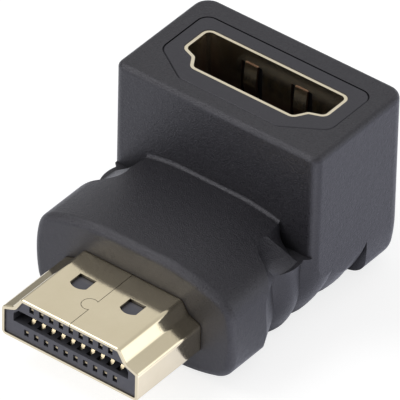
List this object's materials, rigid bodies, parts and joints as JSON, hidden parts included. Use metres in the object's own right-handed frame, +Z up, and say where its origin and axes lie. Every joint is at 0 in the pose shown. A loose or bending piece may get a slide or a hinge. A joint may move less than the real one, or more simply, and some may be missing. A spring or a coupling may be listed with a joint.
{
  "type": "hdmi adapter",
  "caption": "Right-angle HDMI adapter: a flat D-shaped plug in front and a matching socket that opens upward, in a moulded body with ribbed grips.",
  "frame": {"origin": "on the surface the adapter rests on, under the centre of its bounding box, in its mirror plane", "axes": "+Z up, the way the socket opens; -Y the way the plug points, so +Y is towards the back wall; +X across both connectors"},
  "size_m": [0.0206, 0.0304, 0.0173],
  "materials": {
    "housing_plastic": "fine matt texture, black",
    "inner_plastic": "smooth, black",
    "gold_sheet": "bright gold plating on folded sheet",
    "plug_insulator_plastic": "smooth, dark grey",
    "socket_insulator_plastic": "smooth, black",
    "board": "green solder mask",
    "contact_gold": "gold plated, bright"
  },
  "bodies": {
    "root": {"circuit_board": "board", "housing": "housing_plastic", "inner_mould": "inner_plastic", "plug_contact_01": "contact_gold", "plug_contact_02": "contact_gold", "plug_contact_03": "contact_gold", "plug_contact_04": "contact_gold", "plug_contact_05": "contact_gold", "plug_contact_06": "contact_gold", "plug_contact_07": "contact_gold", "plug_contact_08": "contact_gold", "plug_contact_09": "contact_gold", "plug_contact_10": "contact_gold", "plug_contact_11": "contact_gold", "plug_contact_12": "contact_gold", "plug_contact_13": "contact_gold", "plug_contact_14": "contact_gold", "plug_contact_15": "contact_gold", "plug_contact_16": "contact_gold", "plug_contact_17": "contact_gold", "plug_contact_18": "contact_gold", "plug_contact_19": "contact_gold", "plug_insulator": "plug_insulator_plastic", "plug_shell": "gold_sheet", "socket_contact_01": "contact_gold", "socket_contact_02": "contact_gold", "socket_contact_03": "contact_gold", "socket_contact_04": "contact_gold", "socket_contact_05": "contact_gold", "socket_contact_06": "contact_gold", "socket_contact_07": "contact_gold", "socket_contact_08": "contact_gold", "socket_contact_09": "contact_gold", "socket_contact_10": "contact_gold", "socket_contact_11": "contact_gold", "socket_contact_12": "contact_gold", "socket_contact_13": "contact_gold", "socket_contact_14": "contact_gold", "socket_contact_15": "contact_gold", "socket_contact_16": "contact_gold", "socket_contact_17": "contact_gold", "socket_contact_18": "contact_gold", "socket_contact_19": "contact_gold", "socket_insulator": "socket_insulator_plastic", "socket_shell": "gold_sheet"}
  },
  "joints": []
}
